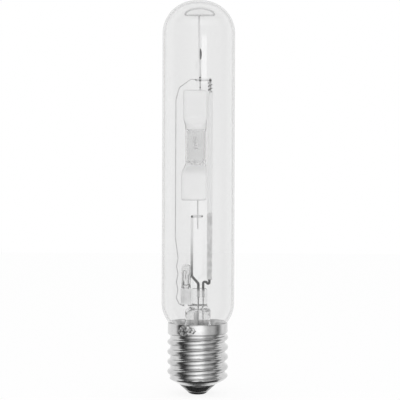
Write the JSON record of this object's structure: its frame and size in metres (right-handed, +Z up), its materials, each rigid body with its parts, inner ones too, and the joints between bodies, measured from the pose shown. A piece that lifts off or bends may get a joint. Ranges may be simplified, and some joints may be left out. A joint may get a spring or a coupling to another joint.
{
  "type": "discharge lamp",
  "caption": "Clear tubular metal halide discharge lamp with an E40 screw cap and a dome at the far end, showing its quartz arc tube, support wires, starter and getter.",
  "frame": {"origin": "middle of the centre contact's flat lower face, on the lamp's axis", "axes": "+Z up the lamp from the cap to the dome, +X to the right and -Y towards the viewer in the picture"},
  "size_m": [0.047, 0.047, 0.254],
  "materials": {
    "clear_glass": "clear, polished",
    "stem_glass": "clear, pressed",
    "fused_silica": "clear silica, white coats at the arc tube's ends",
    "black_glass": "fused black glass",
    "nickel_plate": "nickel plate, bright",
    "contact_metal": "plated, dull",
    "solder": "soft solder, uneven",
    "cement": "fired cement, rough",
    "support_steel": "nickel-plated wire",
    "molybdenum": "drawn wire and rolled foil",
    "tungsten": "sintered, grey",
    "glass_braid": "woven glass fibre",
    "getter_metal": "rolled strip"
  },
  "bodies": {
    "root": {"outer_bulb": "clear_glass", "glass_stem": "stem_glass", "exhaust_tube": "stem_glass", "cap_shell": "nickel_plate", "cap_insulator": "black_glass", "centre_contact": "contact_metal", "contact_solder": "solder", "side_solder": "solder", "cap_cement": "cement", "contact_lead": "support_steel", "shell_lead": "support_steel", "short_support_wire": "support_steel", "frame_rod": "support_steel", "top_bridge": "support_steel", "top_wire": "support_steel", "dome_ring": "support_steel", "rod_tie": "support_steel", "quartz_sleeve": "fused_silica", "braided_sleeve": "glass_braid", "getter": "getter_metal", "arc_tube": "fused_silica", "upper_foil": "molybdenum", "lower_foil": "molybdenum", "upper_electrode": "tungsten", "lower_electrode": "tungsten", "upper_electrode_coil": "tungsten", "lower_electrode_coil": "tungsten", "upper_arc_lead": "molybdenum", "lower_arc_lead": "molybdenum", "flying_lead": "molybdenum", "starter_glass": "stem_glass", "starter_ferrule": "getter_metal", "starter_left_lead": "support_steel", "starter_right_lead": "support_steel", "starter_bimetal": "getter_metal"}
  },
  "joints": []
}
